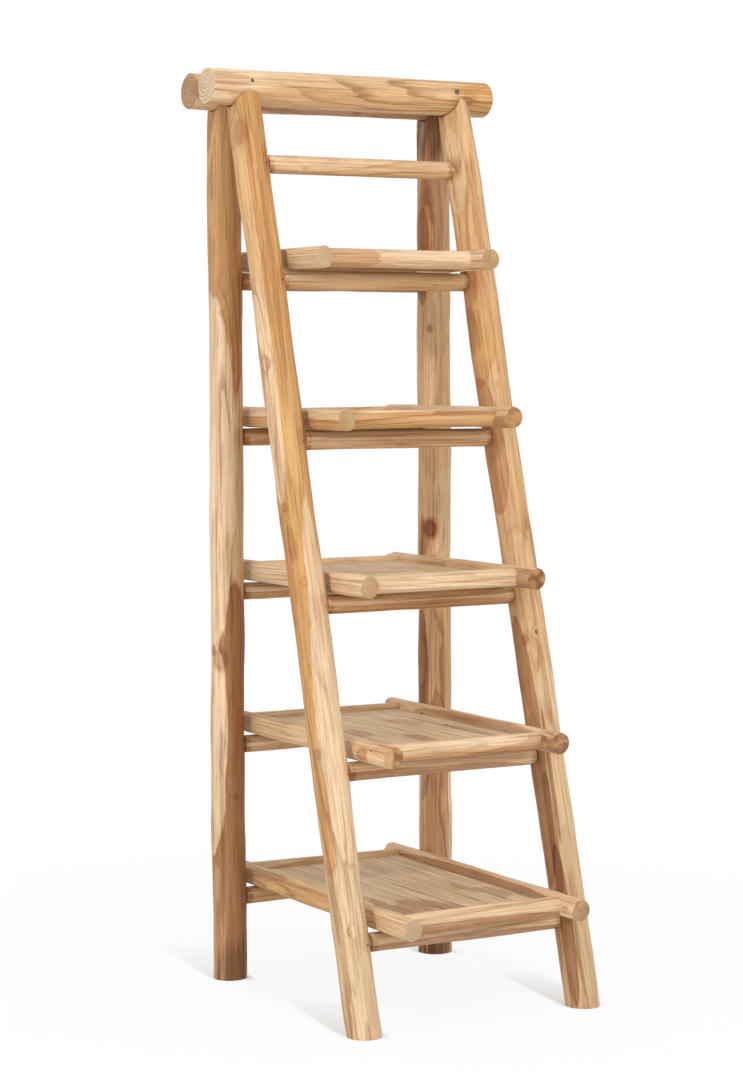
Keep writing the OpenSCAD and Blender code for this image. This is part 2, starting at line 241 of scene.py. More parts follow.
def teak(name, place, turn, seed, patches=(), knots=(), radius=0.0, ring=0.0062,
         pith=(0.011, 0.006), boards=None, blots=(), lines=0.55,
         ends=(colour("b8925f"), 0.5, 0.35), heart=0.0):
    """Teak whose grain runs along local Z of the given place and turn.

    Patches are where a plane cut into other wood, and also painted light and shade at joints,
    creases and undersides: (along, reach, degrees round the pole, spread, colour, strength).
    Knots lie at the pole's radius: (along, degrees, size, darkness). ring is the width of the
    growth rings and pith their middle. lines is the strength of the late-wood lines, ends the
    colour of sawn ends, its strength and that of their rings, and heart the strength of the
    brown heartwood in them. boards is (count, pitch) where the piece is sawn boards side by
    side along local X, and blots are the stains on these: (across, along, half width, reach,
    colour, strength).
    """
    made, start = finish(name)
    where = start.node("ShaderNodeTexCoord", {}, {}, "Object")
    local = start.node(
        "ShaderNodeMapping",
        {"vector_type": "TEXTURE"},
        {"Vector": where, "Location": place, "Rotation": turn},
    )
    if boards:
        # Each board comes from another log: its grain starts elsewhere and its pith lies aside.
        whole = local
        count, pitch = boards
        x, y, z = (local.node("ShaderNodeSeparateXYZ", {}, {0: local}, way) for way in "XYZ")
        number = x * (1 / pitch) + count / 2
        number = number.maths("FLOOR", number)
        chance = number.node(
            "ShaderNodeTexWhiteNoise", {"noise_dimensions": "1D"}, {"W": number + seed}, "Color"
        )
        x = x - (number + (0.5 - count / 2)) * pitch
        z = z + number * 0.731
        local = local.node("ShaderNodeCombineXYZ", {}, {"X": x, "Y": y, "Z": z})

    def clouds(across, along, detail, shift, out=0):
        """Soft noise with so many cells a metre across the grain and along it."""
        start_at = (seed * 3.17 + shift, shift * 2.3, seed * 1.91)
        scaled = local.vector("MULTIPLY_ADD", local, (across, across, along), start_at)
        return scaled.node(
            "ShaderNodeTexNoise", {}, {"Vector": scaled, "Scale": 1.0, "Detail": detail}, out
        )

    section = local.vector("MULTIPLY", local, (1, 1, 0))
    from_axis = section.vector("LENGTH", section, out="Value")
    along = local.node("ShaderNodeSeparateXYZ", {}, {0: local}, "Z")
    ragged = clouds(30, 6, 4, 4.0) - 0.5

    # Growth rings wander along the pole and swell round each knot.
    wander = 0.070
    drift = clouds(5.0, 1.1, 2, 9.0, out="Color")
    wandering = drift.vector("MULTIPLY_ADD", drift, (wander, wander, 0), section)
    centre = (wander / 2 + pith[0], wander / 2 + pith[1], 0)
    off_pith = wandering.vector("SUBTRACT", wandering, centre)
    if boards:
        aside = chance.vector("MULTIPLY_ADD", chance, (0.09, 0.05, 0), (-0.045, 0.0, 0))
        off_pith = off_pith.vector("SUBTRACT", off_pith, aside)
    rings = off_pith.vector("LENGTH", off_pith, out="Value") / ring + clouds(60, 3, 3, 2.0) * 0.9
    core = rim = None
    for knot_along, degrees, size, darkness in knots:
        angle = math.radians(degrees)
        spot = (radius * math.cos(angle), radius * math.sin(angle), knot_along)
        gap = local.vector("SUBTRACT", local, spot)
        gap = gap.vector("MULTIPLY", gap, (1, 1, 0.72))
        gap = gap.vector("LENGTH", gap, out="Value") + ragged * size * 0.9
        swell = gap.maths("EXPONENT", gap * gap * (-1 / (2.2 * size) ** 2))
        rings = rings + swell * (0.15 + darkness * 1.5)
        inside = gap.step(size, size * 0.8) * darkness
        edge = gap.step(size * 1.5, size * 1.0) * gap.step(size * 0.5, size * 0.95)
        edge = edge * (0.2 + darkness * 0.6)
        core = inside if core is None else core.maths("MAXIMUM", core, inside)
        rim = edge if rim is None else rim.maths("MAXIMUM", rim, edge)
    phase = rings.maths("FRACT", rings)
    late_wood = phase.step(0.55, 0.93) * phase.step(1.0, 0.96)

    fibre = clouds(330, 7, 3, 5.0) - 0.5
    strands = clouds(150, 2.6, 4, 17.0) - 0.5
    pores = clouds(1150, 30, 2, 7.0).step(0.58, 0.72)
    flecks = clouds(210, 8, 2, 53.0).step(0.62, 0.72)
    stain = clouds(15, 2.4, 3, 1.0)

    tone = stain.node(
        "ShaderNodeMix", {"data_type": "RGBA"}, {0: stain.step(0.36, 0.60), 6: SAPWOOD, 7: HONEY}, 2
    )
    tone = tone.stain(clouds(22, 1.6, 3, 12.0).step(0.54, 0.68) * 0.6, OCHRE)
    if boards:
        shade = chance.node("ShaderNodeSeparateXYZ", {}, {0: chance}, "Z")
        tone = tone.tint(0.55 + shade * 0.4, GREYED)
        for across, blot_along, wide, reach, tint, strength in blots:
            gap = whole.vector("SUBTRACT", whole, (across, 0, blot_along))
            gap = gap.vector("MULTIPLY_ADD", chance, (0, 0, 0.10), gap)
            gap = gap.vector("MULTIPLY", gap, (1 / wide, 0, 1 / reach))
            gap = gap.vector("LENGTH", gap, out="Value") + ragged * 1.0 + strands * 0.8
            inside = gap.step(1.1, 0.95) * (strength + strands * 0.5)
            tone = lay(tone, inside, tint)
    for patch_along, reach, degrees, spread, tint, strength in patches:
        angle = math.radians(degrees)
        facing = section.vector(
            "DOT_PRODUCT", section, (math.cos(angle), math.sin(angle), 0), out="Value"
        )
        aside = (1 - facing / from_axis) * (1 / spread)
        away = (along - patch_along) * (1 / reach)
        away = away.maths("ABSOLUTE", away)
        depth = aside + away * away * away + ragged * 0.9 + strands * 0.3
        if reach < SOFT_REACH:
            tone = tone.stain((depth + ragged + strands * 3.0).step(1.3, 0.1) * strength, tint)
            continue
        # Where the plane cut through to other wood, and where light and shade are painted, the edge
        # shows as a thin darker line.
        inside = depth.step(1.05, 0.97) * (strength + strands * 0.7)
        tone = lay(tone, inside, tint)
        line = depth.step(0.88, 1.0) * depth.step(1.12, 1.0) * ragged.step(-0.12, 0.12)
        tone = tone.stain(line * strength * 0.5, RED_HEART)
    brown = clouds(75, 1.9, 4, 31.0).step(0.60, 0.70)
    tone = tone.stain(brown * 0.3, RED_HEART)
    faint = clouds(11, 1.7, 2, 21.0).step(0.42, 0.62) * 0.88 + 0.12
    tone = tone.stain(late_wood * faint * lines, LINE)
    if knots:
        tone = tone.stain(rim, RED_HEART)
        tone = tone.stain(core, colour("b07445"))
        tone = tone.stain(core * core * 0.45, UMBER)
    tone = tone.stain((strands * -2.1).positive(), RED_HEART)
    tone = tone.tint((strands * 0.6).positive(), colour("f0dcc0"))
    tone = tone.stain((fibre * -2.6).positive(), HEARTWOOD)
    tone = tone.stain(flecks * 0.25 + pores * 0.3, UMBER)
    mottle = clouds(38, 8, 4, 41.0) * 0.5 + 0.75
    tone = tone.vector("MULTIPLY", tone, mottle)

    # Sawn ends: duller, with dark growth rings, and in some of them mottled brown heartwood.
    end_tone, end_strength, end_rings = ends
    normal = start.node("ShaderNodeTexCoord", {}, {}, "Normal")
    grain_way = Vector((0, 0, 1))
    grain_way.rotate(Euler(turn))
    end_on = normal.vector("DOT_PRODUCT", normal, grain_way, out="Value")
    end_on = end_on.maths("ABSOLUTE", end_on)
    rim_line = end_on.step(0.25, 0.5) * end_on.step(0.9, 0.7)
    tone = tone.stain(rim_line * 0.55, HEARTWOOD)
    end_on = end_on.step(0.72, 0.92)
    tone = tone.tint(end_on * end_strength, end_tone)
    tone = tone.tint(end_on * late_wood * end_rings, colour("5f4024"))
    if heart:
        mottled = clouds(46, 2, 1, 61.0).step(0.36, 0.62)
        tone = tone.stain(end_on * (mottled + fibre * 0.4) * heart, colour("a07a5c"))

    height = fibre * 0.5 + late_wood * 0.5 + strands * 0.8 - pores * 0.6
    bump = height.node(
        "ShaderNodeBump", {}, {"Strength": 0.45, "Distance": 0.0006, "Height": height}
    )
    shader = start.node(
        "ShaderNodeBsdfPrincipled",
        {},
        {
            "Base Color": tone,
            "Roughness": 0.58 + fibre * 0.25 + late_wood * -0.06,
            "Specular IOR Level": 0.3,
            "Normal": bump,
        },
    )
    surface = made.node_tree.nodes.new("ShaderNodeOutputMaterial")
    made.node_tree.links.new(shader.socket, surface.inputs["Surface"])
    return made


def edit(piece, wanted, kind="EDGE"):
    """Opens the piece in edit mode with only its wanted points, edges or faces selected."""
    bpy.ops.object.select_all(action="DESELECT")
    piece.select_set(True)
    bpy.context.view_layer.objects.active = piece
    bpy.ops.object.mode_set(mode="EDIT")
    bpy.ops.mesh.select_mode(type=kind)
    bpy.ops.mesh.select_all(action="DESELECT")
    bpy.ops.object.mode_set(mode="OBJECT")
    mesh = piece.data
    if kind == "VERT":
        for point in mesh.vertices:
            point.select = wanted(point.co)
    for part in {"EDGE": mesh.edges, "FACE": mesh.polygons}.get(kind, ()):
        part.select = wanted([mesh.vertices[i].co for i in part.vertices])
    bpy.ops.object.mode_set(mode="EDIT")


def shape(piece, kind, settings):
    """Adds a modifier to the piece and applies it."""
    modifier = piece.modifiers.new(kind.lower(), kind)
    for key, value in settings.items():
        setattr(modifier, key, value)
    bpy.context.view_layer.objects.active = piece
    bpy.ops.object.modifier_apply(modifier=modifier.name)


def hew(piece, point, normal):
    """Planes a flat, given in the piece's own axes: what lies beyond it is pressed down to it."""
    point, normal = Vector(point), Vector(normal).normalized()
    edit(piece, lambda corner: (corner - point).dot(normal) > 0, "VERT")
    turned = piece.matrix_world.to_3x3() @ normal
    bpy.ops.transform.resize(
        value=(1, 1, 0),
        orient_type="GLOBAL",
        orient_matrix=turned.to_track_quat("Z", "Y").to_matrix(),
        orient_matrix_type="GLOBAL",
        center_override=piece.matrix_world @ point,
    )
    bpy.ops.object.mode_set(mode="OBJECT")


def saw(piece, point, normal):
    """Saws off what lies beyond a plane, which is given in the world's axes."""
    edit(piece, lambda corners: True, "FACE")
    bpy.ops.mesh.bisect(plane_co=point, plane_no=normal, use_fill=True, clear_outer=True)
    bpy.ops.object.mode_set(mode="OBJECT")


def scoop(piece, radius, length, place, turn, sides=96):
    """Cuts a round hollow out of the piece."""
    bpy.ops.object.select_all(action="DESELECT")
    bpy.ops.mesh.primitive_cylinder_add(
        vertices=sides, radius=radius, depth=length, location=place, rotation=turn
    )
    cutter = bpy.context.object
    shape(piece, "BOOLEAN", {"operation": "DIFFERENCE", "object": cutter, "solver": "EXACT"})
    bpy.data.objects.remove(cutter)


def sink(piece, middle, way, surface, radius, sides):
    """Bores the short hole over a screw's head where the piece's surface is that far out."""
    length, above = 0.011, 0.0035
    place = middle + way * (surface + above)
    scoop(piece, radius, length, place, way.to_track_quat("Z", "Y").to_euler(), sides)


def grow(name, radius, length, middle, turn, seed, crook=0.009, lump=0.0045, sides=72):
    """A debarked pole: round, a little crooked and lumpy, with its length along local Z."""
    bpy.ops.object.select_all(action="DESELECT")
    bpy.ops.mesh.primitive_cylinder_add(
        vertices=sides, radius=radius, depth=length, location=middle, rotation=turn
    )
    piece = bpy.context.object
    piece.name = piece.data.name = name
    ease(piece, radius * 0.14)
    edit(piece, lambda ends: abs(ends[0].z - ends[1].z) > length / 2)
    cell = 0.008
    bpy.ops.mesh.subdivide(number_cuts=max(3, round(length / cell)))
    bpy.ops.object.mode_set(mode="OBJECT")
    # Crooks across the pole, then long lumps and small ones, each read at another place.
    gauge = bpy.data.objects.new("gauge", None)
    scene.collection.objects.link(gauge)
    gauge.rotation_euler = turn
    for way, size, stretch, strength in (
        ("X", 0.42, 1.0, crook),
        ("Y", 0.42, 1.0, crook),
        ("NORMAL", 0.055, 2.6, lump),
        ("NORMAL", 0.020, 2.2, lump * 0.28),
    ):
        seed += 1.37
        gauge.location = Vector(middle) + Vector((seed * 0.731, seed * 0.417, seed * 0.913))
        gauge.scale = (1, 1, stretch)
        bpy.context.view_layer.update()
        lumps = bpy.data.textures.new("lumps", "CLOUDS")
        lumps.noise_scale = size
        lumps.noise_depth = 1
        shape(
            piece,
            "DISPLACE",
            {
                "texture": lumps,
                "texture_coords": "OBJECT",
                "texture_coords_object": gauge,
                "direction": way,
                "strength": strength,
                "mid_level": 0.5,
            },
        )
        bpy.data.textures.remove(lumps)
    bpy.data.objects.remove(gauge)
    return piece


def ease(piece, width):
    """Rounds the piece's sharp edges over."""
    limit = {"limit_method": "ANGLE", "angle_limit": math.radians(50)}
    shape(piece, "BEVEL", {"width": width, "segments": 2, **limit})


def set_down(piece, node, body, wood):
    """Fixes the piece's place in its mesh, gives it its finish and puts it in for its node."""
    bpy.ops.object.select_all(action="DESELECT")
    piece.select_set(True)
    bpy.context.view_layer.objects.active = piece
    bpy.ops.object.transform_apply(location=True, rotation=True, scale=True)
    bpy.ops.object.shade_smooth_by_angle(angle=math.radians(38))
    piece.data.materials.clear()
    piece.data.materials.append(wood)
    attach(piece, body)
    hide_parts(node)


def middle_of(node):
    """The middle of a node's box."""
    low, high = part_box(node)
    return (Vector(low) + Vector(high)) / 2


leg_radius, pole_radius = 0.033, 0.037
along_x = (0, math.radians(90), 0)
rear_leg_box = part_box("rear_leg_left")
rear_y = (rear_leg_box[0][1] + rear_leg_box[1][1]) / 2
leg_x = middle_of("rear_leg_right").x
front_pole, rear_pole = middle_of("front_top_pole"), middle_of("rear_top_pole")
# The sawn foot of a leaning leg is longer than the leg is thick, by the lean of the ladder.
ladder_lean = math.radians(15.07)
foot_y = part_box("front_leg_left")[0][1] + leg_radius / math.cos(ladder_lean)
lean = math.atan2(front_pole.y - foot_y, front_pole.z)
# The screws that lock the rungs come in from so far round the legs.
screw_turn = math.radians(56)
# Degrees round a leg: 0 is the stand's right and -90 its front. The camera sees these three.
toward_camera, camera_left, camera_right = -120, -172, -72

leg_looks = {
    # Patches are (along, reach, degrees, spread, colour, strength), and knots are (along,
    # degrees, size, darkness). Along is metres up from the floor.
    "rear_leg_left": (
        [
            (1.52, 0.36, toward_camera, 1.9, OCHRE, 0.8),
            (1.54, 0.38, toward_camera, 2.2, HEARTWOOD, 0.2),
            (0.20, 0.62, toward_camera, 2.3, HEARTWOOD, 0.82),
            (1.02, 0.345, camera_left, 0.92, SAPWOOD, 0.95),
            (0.47, 0.22, -188, 0.60, SAPWOOD, 1.0),
            (0.02, 0.22, -165, 0.2, HONEY, 0.35),
            (0.30, 0.20, -140, 0.010, UMBER, 0.3),
            (0.02, 0.066, camera_right, 0.9, UMBER, 0.5),
        ],
        [(0.645, -145, 0.014, 0.4), (0.660, camera_left, 0.007, 0.5),
         (1.33, -130, 0.005, 0.2), (0.37, -90, 0.005, 0.3)],
    ),
    "rear_leg_right": (
        [
            # The first two darken the leg's top under its top pole: painted shade, over the leg's
            # own brown.
            (1.62, 0.22, -125, 1.6, RED_HEART, 0.4),
            (1.70, 0.066, -130, 1.2, UMBER, 0.7),
            (1.57, 0.19, -150, 0.10, RED_HEART, 0.5),
            (1.45, 0.10, -165, 0.12, HEARTWOOD, 0.6),
            (0.58, 0.14, -175, 0.16, HEARTWOOD, 0.8),
            (0.87, 0.05, -160, 0.10, HEARTWOOD, 0.6),
            (0.30, 0.26, -110, 0.3, RED_HEART, 0.5),
            (0.0, 0.066, toward_camera, 2.2, UMBER, 0.9),
        ],
        [(0.889, -138, 0.015, 0.8), (1.30, -135, 0.006, 0.5),
         (0.50, -100, 0.006, 0.3)],
    ),
    "front_leg_left": (
        [
            (0.90, 1.20, toward_camera, 3.0, OCHRE, 0.95),
            (1.42, 0.42, camera_left, 0.31, HONEY, 0.5),
            (1.22, 0.215, camera_left, 0.30, SAPWOOD, 0.6),
            (0.25, 0.74, camera_right, 0.66, SAPWOOD, 0.85),
            (0.08, 0.24, -110, 2.5, GREYED, 0.6),
            (1.73, 0.03, -150, 0.15, HEARTWOOD, 0.4),
            (1.66, 0.05, -60, 0.1, HEARTWOOD, 0.5),
            (1.43, 0.20, -92, 0.012, HEARTWOOD, 0.35),
            (0.35, 0.18, -165, 0.03, HEARTWOOD, 0.35),
            (0.92, 0.035, -150, 0.12, HEARTWOOD, 0.4),
        ],
        [(1.27, -150, 0.007, 0.25), (0.99, -158, 0.006, 0.3),
         (0.845, -122, 0.007, 0.1), (0.52, -155, 0.006, 0.15),
         (0.19, -125, 0.005, 0.25)],
    ),
    "front_leg_right": (
        [
            (1.25, 0.70, toward_camera, 3.0, OCHRE, 0.55),
            (0.30, 0.36, -85, 1.3, GREYED, 0.85),
            (0.28, 0.30, toward_camera, 1.5, OCHRE, 0.35),
            (0.10, 0.24, toward_camera, 1.6, HEARTWOOD, 0.15),
            (1.665, 0.09, -158, 0.32, GREYED, 0.5),
            (1.36, 0.14, -165, 0.6, OCHRE, 0.6),
            (1.34, 0.05, -170, 0.25, HEARTWOOD, 0.5),
            (1.10, 0.14, -170, 0.42, RED_HEART, 0.55),
            (0.74, 0.20, toward_camera, 0.55, HONEY, 0.6),
            (0.50, 0.26, -175, 0.30, HEARTWOOD, 0.65),
            (0.44, 0.13, -118, 0.006, HEARTWOOD, 0.7),
            (0.33, 0.12, -140, 0.03, HEARTWOOD, 0.6),
            (0.15, 0.15, -140, 0.07, HEARTWOOD, 0.75),
            (0.10, 0.09, -112, 0.008, UMBER, 0.3),
            (0.62, 0.08, -90, 0.012, HEARTWOOD, 0.4),
        ],
        [(0.71, -140, 0.007, 0.4), (0.722, -98, 0.003, 0.7),
         (1.22, -110, 0.005, 0.1), (0.16, -128, 0.004, 0.2)],
    ),
}
# How far a leg is grown below the floor before it is sawn off level, how much thicker than its
# solid, and the clearance of its saddle. A scoop is long enough to pass right through.
below, swell, saddle_room, scoop_length = 0.04, 0.0006, 0.0004, 0.2
leg_hole = 0.0027
for number, (node, (patches, knots)) in enumerate(leg_looks.items()):
    x = -leg_x if node.endswith("left") else leg_x
    rear = node.startswith("rear")
    turn = (0, 0, 0) if rear else (-lean, 0, 0)
    foot = Vector((x, rear_y if rear else foot_y, 0))
    up = Vector((0, 0, 1))
    up.rotate(Euler(turn))
    top = rear_pole if rear else front_pole
    reach = top.z / math.cos(0 if rear else lean)
    length = reach + below
    middle = foot + up * (length / 2 - below)
    piece = grow(node + "_pole", leg_radius + swell, length, middle, turn, seed=3 + 5 * number)
    # Hewn flats narrow the top on both sides, and the saddle fits it under its pole.
    crown = reach - (length / 2 - below)
    for side, depth, slope in ((-1, 0.0215, 0.085), (1, 0.0235, 0.075)):
        hew(piece, (side * depth, 0, crown), (side, 0, slope))
    if node == "front_leg_right":
        hew(piece, (-0.022, -0.010, crown - 0.06), (-0.86, -0.5, 0.04))
    scoop(piece, pole_radius + saddle_room, scoop_length, (x, top.y, top.z), along_x)
    saw(piece, (0, 0, 0), (0, 0, -1))
    ease(piece, 0.0014)
    # Sunk holes over the heads of the screws that lock the rungs.
    ladder = "rear" if rear else "front"
    rungs = [middle_of("%s_rung_%d" % (ladder, tray)) for tray in range(1, 6)]
    if not rear:
        rungs.append(middle_of("top_rung"))
    inward = 1 if x < 0 else -1
    behind = 1 if rear or x > 0 else -1
    way = Vector((inward * math.cos(screw_turn), behind * math.sin(screw_turn), 0))
    for rung in rungs:
        sink(piece, Vector((x, rung.y, rung.z)), way, leg_radius, leg_hole, 20)
    # Painted shade: a soft brown darkening round each rung's joint, on the leg's inner side.
    inner = 90 - 90 * inward
    painted_joint_shade = [(rung.z / up.z, 0.026, inner, 0.9, RED_HEART, 0.4) for rung in rungs]
    wood = teak(
        node + "_teak", foot, turn, 1.7 + 2.9 * number, patches + painted_joint_shade, knots, radius=leg_radius
    )
    set_down(piece, node, "frame", wood)

# ---------------------------------------------------------------------------------------------
# Top poles. Two thicker teak poles that lie side by side on the leg tops, with plainly sawn ends
# that show their growth rings. Long screws, sunk in the front one, tie them together.
# ---------------------------------------------------------------------------------------------
pole_hole = 0.0038
tie_x, tie_rise = 0.23175, math.radians(20)
top_looks = {
    # Patches, knots, pith, the colour of the ends and the strength of their rings. Along is metres
    # to the right of the middle. Of the degrees, 0 is down and -90 the front.
    "front_top_pole": (
        [(-0.02, 0.26, -60, 0.20, OCHRE, 0.5), (0.285, 0.066, -90, 1.2, OCHRE, 0.9),
         (-0.28, 0.05, -110, 0.15, RED_HEART, 0.45), (0.262, 0.02, -90, 0.10, HEARTWOOD, 0.3),
         # Painted shade: a dark strip along the back, where this pole lies against the rear one.
         (0.0, 0.4, 90, 0.12, HEARTWOOD, 0.7)],
        [(0.255, -80, 0.009, 0.2), (-0.10, -150, 0.005, 0.2)],
        (-0.006, -0.020), "d6c1a3", 0.45,
    ),
    "rear_top_pole": (
        [(0.10, 0.30, -60, 0.5, HEARTWOOD, 0.5), (-0.2, 0.2, 120, 0.5, OCHRE, 0.6),
         # Painted shade: a dark strip along the front, where this pole lies against the front one.
         (0.0, 0.4, -90, 0.12, UMBER, 0.6)],
        [(0.05, -30, 0.007, 0.3), (-0.15, 80, 0.008, 0.4)],
        (-0.008, 0.010), "a98560", 0.6,
    ),
}
for number, (node, (patches, knots, pith, end_tone, rings)) in enumerate(top_looks.items()):
    middle = middle_of(node)
    low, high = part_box(node)
    length = high[0] - low[0]
    piece = grow(
        node + "_log", pole_radius - 0.0020, length - 0.004, middle, along_x,
        seed=31 + number, crook=0.005, lump=0.003, sides=84,
    )
    for side, tilt in ((-1, 0.05), (1, -0.07)):
        end = middle + Vector((side * (length / 2 - 0.005), 0, 0))
        saw(piece, end, (side, 0.06 * side, tilt))
    ease(piece, 0.0034)
    if node == "front_top_pole":
        tie = Vector((0, -math.cos(tie_rise), math.sin(tie_rise)))
        for side in (-1, 1):
            sink(piece, middle + Vector((side * tie_x, 0, 0)), tie, pole_radius, pole_hole, 24)
    wood = teak(
        node + "_teak", middle, along_x, 14.3 + 3.1 * number, patches, knots,
        radius=pole_radius, pith=pith, ring=0.0075, ends=(colour(end_tone), 0.8, rings),
    )
    set_down(piece, node, "frame", wood)

# ---------------------------------------------------------------------------------------------
# Rungs. Thin teak poles, 36 and 38 mm thick, whose rounded shoulders stop at the legs and whose
# turned tenons go on into blind mortises. One screw through the leg locks each tenon.
# ---------------------------------------------------------------------------------------------
rung_looks = {
    # The wood above and the wood below: their own tones, with painted light on top and painted shade
    # underneath.
    "top_rung": (SAPWOOD, HONEY), "front_rung_1": (HONEY, OCHRE),
    "front_rung_2": (HONEY, OCHRE), "front_rung_3": (OCHRE, RED_HEART),
    "front_rung_4": (SAPWOOD, HEARTWOOD), "front_rung_5": (HONEY, HEARTWOOD),
    "rear_rung_1": (OCHRE, HEARTWOOD), "rear_rung_2": (RED_HEART, HEARTWOOD),
    "rear_rung_3": (OCHRE, RED_HEART), "rear_rung_4": (HONEY, OCHRE),
    "rear_rung_5": (HONEY, OCHRE),
}
shoulder = leg_x - leg_radius + 0.0005
tenon_radius, tenon_length = 0.013, 0.014
# The sticks are this much thinner than their solids, so that their lumps stay inside.
lump_room = 0.0009


def is_end(corners):
    """Whether a face with these corners is one of a stick's two round ends."""
    return len(corners) > 4 and all(abs(corner.z) > shoulder - 0.004 for corner in corners)


for number, (node, (lit_top_wood, shaded_under_wood)) in enumerate(rung_looks.items()):
    low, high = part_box(node)
    middle = middle_of(node)
    radius = (high[2] - low[2]) / 2 - lump_room
    piece = grow(
        node + "_stick", radius, 2 * shoulder, middle, along_x,
        seed=50 + 3 * number, crook=0.002, lump=0.0022, sides=48,
    )
    edit(piece, is_end, "FACE")
    bpy.ops.mesh.inset(thickness=radius - tenon_radius)
    bpy.ops.mesh.extrude_region_shrink_fatten(TRANSFORM_OT_shrink_fatten={"value": tenon_length})
    bpy.ops.object.mode_set(mode="OBJECT")
    patches = [
        # On top a paler wood, partly painted light; underneath a darker one, partly painted shade.
        (0.05 * (number % 3 - 1), 0.35, -170, 0.6, lit_top_wood, 0.6),
        (0.04 * (number % 4 - 2), 0.28, -12, 0.75, shaded_under_wood, 0.55),
        # The last two are painted shade: a soft darkening round each shoulder, where the rung meets
        # a leg.
        (-shoulder, 0.014, 0, 3, HEARTWOOD, 0.6),
        (shoulder, 0.012, 0, 3, HEARTWOOD, 0.5),
    ]
    knots = [(0.13 * ((number * 5) % 3 - 1), -60, 0.004, 0.1)]
    wood = teak(
        node + "_teak", middle, along_x, 23.7 + 1.9 * number, patches, knots,
        radius=radius, pith=(0.012, 0.02), ring=0.0055,
    )
    ease(piece, 0.0012)
    set_down(piece, node, "frame", wood)

# ---------------------------------------------------------------------------------------------
# Trays. Each has two side poles that lie on the rungs between the legs and are hollowed where
# they pass a leg, a front and a rear rail let in between them, and planed slats. The maker
# flattened the poles and rails with a plane here and there, each one otherwise.
# ---------------------------------------------------------------------------------------------
along_y = (math.radians(-90), 0, 0)
# The side poles' thickness, the room beside a leg, and what the rails are thinner than solid.
tray_pole_radius, leg_room, rail_room = 0.021, 0.013, 0.0008
# Flats are (degrees round the pole, distance from its axis, slope along it), in the pole's own
# axes: X to the right, Y down, Z to the back. An end's saw cut is tilted by (across, down).
pole_flats = {
    (1, "left"): [(180, 0.0184, 0.006)],
    (1, "right"): [(-120, 0.0190, 0.01)],
    (2, "left"): [(-105, 0.0184, 0.0), (165, 0.0188, 0.008)],
    (2, "right"): [(-155, 0.0178, -0.012)],
    (3, "left"): [(-168, 0.0180, 0.006)],
    (3, "right"): [(-105, 0.0178, 0.010)],
    (4, "left"): [(-150, 0.0180, -0.006)],
    (4, "right"): [(-165, 0.0168, 0.004)],
    (5, "left"): [(180, 0.0172, 0.0), (-118, 0.0184, 0.008)],
    (5, "right"): [(-152, 0.0174, 0.0)],
}
pole_ends = {(1, "left"): (0.30, -0.05), (2, "left"): (0.30, -0.22), (2, "right"): (-0.05, 0.08),
             (3, "left"): (0.10, 0.05), (4, "right"): (0.05, 0.05), (5, "left"): (0.06, 0.10)}
# The colours of their sawn ends.
pole_cuts = {
    (1, "left"): "ba9e7a", (1, "right"): "b38e60", (2, "left"): "ab895a", (2, "right"): "b88a58",
    (3, "left"): "b18f65", (3, "right"): "a97849", (4, "left"): "c39c6c", (4, "right"): "b08656",
    (5, "left"): "b5a084", (5, "right"): "a8855c",
}
# How plainly mottled brown heartwood shows in those that cut through it.
pole_hearts = {(1, "right"): 0.2, (2, "right"): 0.5, (3, "right"): 0.75, (4, "left"): 0.8,
               (4, "right"): 0.7, (5, "right"): 0.35}
# Patches and knots on the side poles. Along is metres from the middle to the back.
pole_tones = {
    (1, "left"): [(0.0, 0.3, 170, 0.6, GREYED, 0.7)],
    (1, "right"): [(-0.15, 0.1, -170, 0.6, SAPWOOD, 0.8)],
    (2, "left"): [(0.1, 0.3, -120, 0.5, SAPWOOD, 0.7), (0.0, 0.4, 120, 0.5, OCHRE, 0.6)],
    (2, "right"): [(-0.2, 0.1, 90, 1.2, HEARTWOOD, 0.6)],
    (3, "left"): [(-0.1, 0.35, -170, 0.9, SAPWOOD, 0.7)],
    (3, "right"): [(-0.25, 0.1, 150, 1.0, HEARTWOOD, 0.6)],
    (4, "left"): [(0.1, 0.2, -150, 0.7, HONEY, 0.8)],
    (4, "right"): [(-0.05, 0.25, -160, 0.35, HEARTWOOD, 0.5),
                   (-0.3, 0.06, 180, 1.2, HEARTWOOD, 0.6)],
    (5, "left"): [(0.1, 0.3, 170, 0.6, OCHRE, 0.7)],
    (5, "right"): [(0.0, 0.3, -170, 0.35, HEARTWOOD, 0.7)],
}
pole_knots = {
    (4, "left"): [(-0.235, 172, 0.013, 0.45)],
    (2, "right"): [(-0.19, -160, 0.006, 0.3)],
    (4, "right"): [(-0.312, 150, 0.008, 0.4)],
    (5, "right"): [(-0.33, 180, 0.006, 0.3)],
}
# Flats on the front rails, the same way in their own axes: X down, Y to the back, Z to the right.
rail_flats = {
    1: [(-96, 0.0166, -0.012), (-15, 0.0162, 0.0)],
    2: [(-174, 0.0158, 0.010)],
    3: [(-165, 0.0154, 0.0), (-87, 0.0162, 0.0)],
    4: [(-125, 0.0160, -0.014), (178, 0.0162, 0.0)],
    5: [(-148, 0.0150, 0.0), (-72, 0.0170, -0.01)],
}
# Patches on the front rails. Along is metres from the middle to the right.
rail_tones = {
    1: [(-0.13, 0.09, -90, 1.2, RED_HEART, 0.5),
        (0.09, 0.13, -95, 0.8, SAPWOOD, 0.85)],
    2: [(0.0, 0.32, -70, 0.6, OCHRE, 0.8), (0.0, 0.35, 175, 0.4, SAPWOOD, 0.9)],
    3: [(0.0, 0.34, -115, 1.1, SAPWOOD, 0.85)],
    4: [(0.17, 0.17, -65, 0.8, HEARTWOOD, 0.35),
        (-0.08, 0.22, -130, 0.7, SAPWOOD, 0.9), (0.0, 0.3, -25, 0.4, OCHRE, 0.7)],
    5: [(0.0, 0.32, -145, 0.7, SAPWOOD, 0.7), (-0.05, 0.22, -45, 0.3, HEARTWOOD, 0.5)],
}
